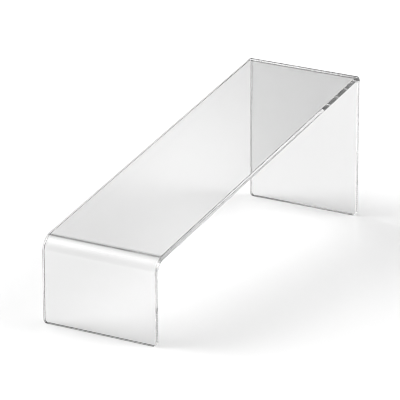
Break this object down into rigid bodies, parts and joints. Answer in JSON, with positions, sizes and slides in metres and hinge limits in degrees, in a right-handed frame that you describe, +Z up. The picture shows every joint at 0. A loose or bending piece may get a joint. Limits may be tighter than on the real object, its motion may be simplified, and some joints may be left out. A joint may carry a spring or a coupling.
{
  "type": "book display stand",
  "caption": "Clear acrylic book display stand: one sheet bent into a short front leg, a long sloping deck and a taller rear leg.",
  "frame": {"origin": "on the surface that the stand rests on, at the middle of its width and depth", "axes": "+X to the right seen from the short leg, +Y from the short front leg to the tall rear leg, +Z up"},
  "size_m": [0.09, 0.3, 0.11],
  "materials": {
    "clear_acrylic": "polished, with flame-polished edges"
  },
  "bodies": {
    "root": {"bent_sheet": "clear_acrylic"}
  },
  "joints": []
}
